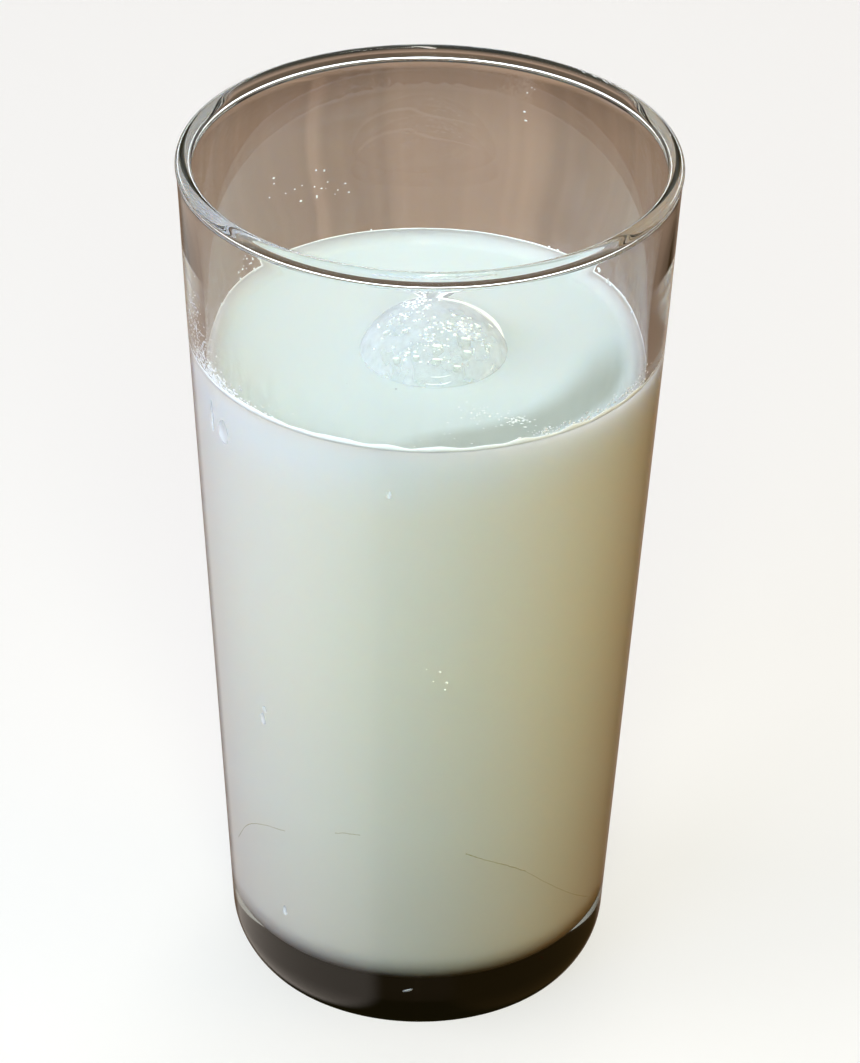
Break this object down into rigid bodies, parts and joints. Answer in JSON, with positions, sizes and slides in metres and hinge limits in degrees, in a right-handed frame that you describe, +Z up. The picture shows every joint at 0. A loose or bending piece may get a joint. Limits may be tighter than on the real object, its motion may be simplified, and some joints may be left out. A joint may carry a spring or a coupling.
{
  "type": "glass of milk",
  "caption": "Tall tapered drinking glass with a thick base, filled with milk to below the rim, a large bubble afloat.",
  "frame": {"origin": "centre of the foot, on the surface that the glass stands on", "axes": "+Z up along the axis of the glass; -Y is the side with the bubble"},
  "size_m": [0.0696, 0.0696, 0.13],
  "materials": {
    "glass": "clear, fire-polished",
    "milk": "smooth, wet",
    "bubble": "thin wet film"
  },
  "bodies": {
    "root": {"glass": "glass", "milk": "milk", "bubble": "bubble"}
  },
  "joints": []
}
